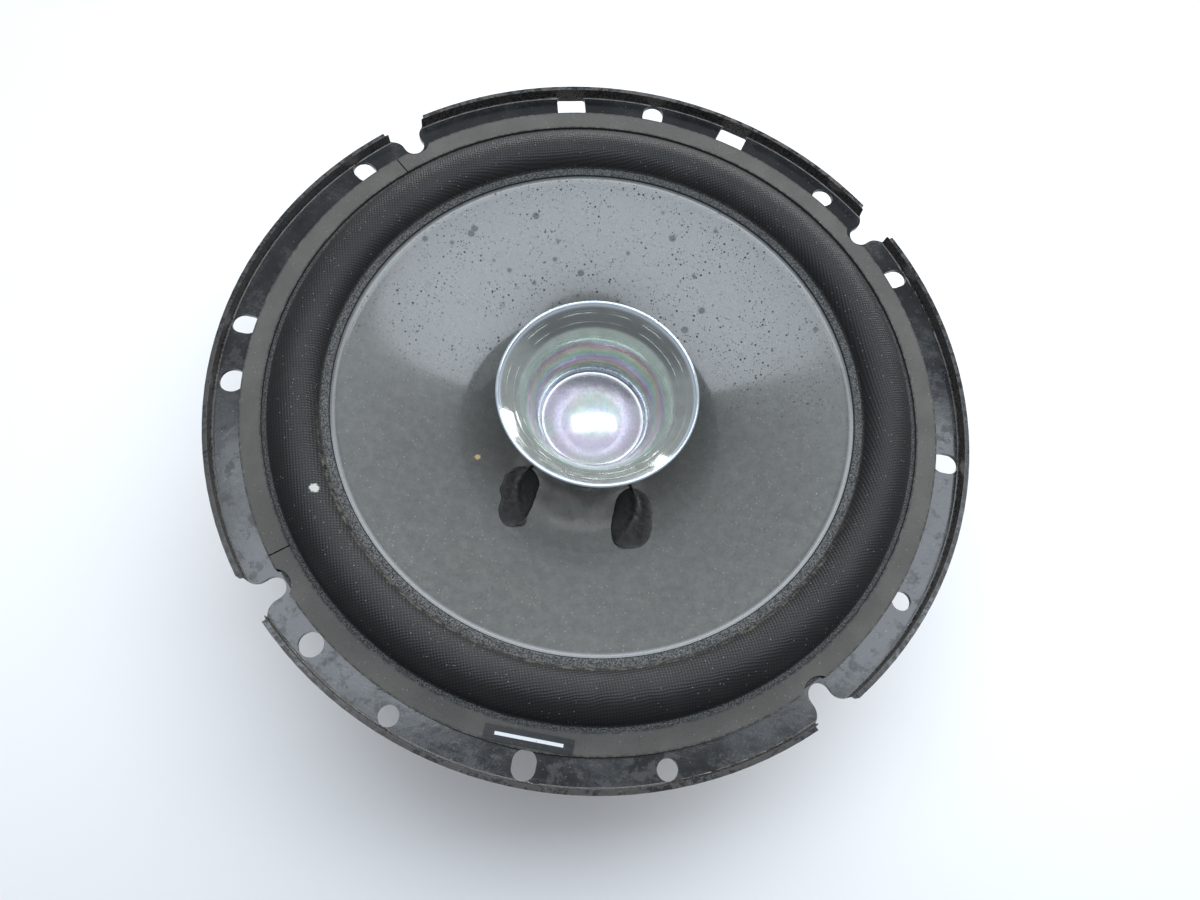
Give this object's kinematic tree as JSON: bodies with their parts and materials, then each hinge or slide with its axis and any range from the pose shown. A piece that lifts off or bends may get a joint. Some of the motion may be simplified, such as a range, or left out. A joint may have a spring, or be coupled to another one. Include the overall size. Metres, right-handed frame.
{
  "type": "dual-cone car speaker",
  "caption": "Round car speaker with a flat drilled flange, half-roll cloth surround, dark cone, clear flared whizzer cone with a domed cap, and a ferrite motor.",
  "frame": {"origin": "centre of the mounting flange's rear face, on the cone's axis", "axes": "+Z out of the cone towards the listener, +Y towards the locating hole between the two square holes, +X completes a right-handed frame"},
  "size_m": [0.165, 0.165, 0.0551],
  "materials": {
    "black_painted_steel": "gloss black paint over pressed steel",
    "gasket_card": "matte grey-brown pressed card",
    "dark_label": "dark printed strip",
    "surround_cloth": "coated black cloth",
    "spider_cloth": "resin-dipped amber cloth",
    "zinc_plated_steel": "zinc-plated steel",
    "ferrite": "dark sintered ferrite",
    "paper_label": "plain paper label",
    "rivet_steel": "plated rivet steel",
    "fibre_board": "brown phenolic board",
    "tinned_brass": "tinned brass",
    "solder": "solder",
    "tinsel_braid": "copper tinsel braid",
    "cone_polypropylene": "semi-gloss dark grey polypropylene",
    "clear_film": "clear iridescent film",
    "pearl_film": "pearly domed film",
    "coil_former_foil": "aluminium foil",
    "enamelled_copper": "enamelled copper wire",
    "clear_adhesive": "cured clear adhesive",
    "black_glue": "glossy black rubber glue"
  },
  "bodies": {
    "frame": {"basket": "black_painted_steel", "gasket_short_arc": "gasket_card", "gasket_long_arc": "gasket_card", "gasket_label": "dark_label", "surround": "surround_cloth", "spider": "spider_cloth", "top_plate": "zinc_plated_steel", "magnet": "ferrite", "yoke": "zinc_plated_steel", "rear_label": "paper_label", "motor_rivets": "rivet_steel", "terminal_board": "fibre_board", "terminal_tab_positive": "tinned_brass", "terminal_tab_negative": "tinned_brass", "terminal_rivets": "rivet_steel", "board_rivet": "rivet_steel", "solder_joints": "solder", "tinsel_lead_positive": "tinsel_braid", "tinsel_lead_negative": "tinsel_braid"},
    "moving_cone": {"cone": "cone_polypropylene", "whizzer_cone": "clear_film", "dust_cap": "pearl_film", "coil_former": "coil_former_foil", "coil_winding": "enamelled_copper", "neck_adhesive": "clear_adhesive", "cone_eyelets": "solder", "coil_lead_positive": "enamelled_copper", "coil_lead_negative": "enamelled_copper", "glue_dab_positive": "black_glue", "glue_dab_negative": "black_glue"}
  },
  "joints": [
    {"name": "cone_travel", "type": "slide", "parent": "frame", "child": "moving_cone", "axis": [0, 0, 1], "range_m": [-0.003, 0.003], "stiffness_N_per_m": 1900, "deforming": ["surround", "spider", "tinsel_lead_positive", "tinsel_lead_negative"]}
  ]
}
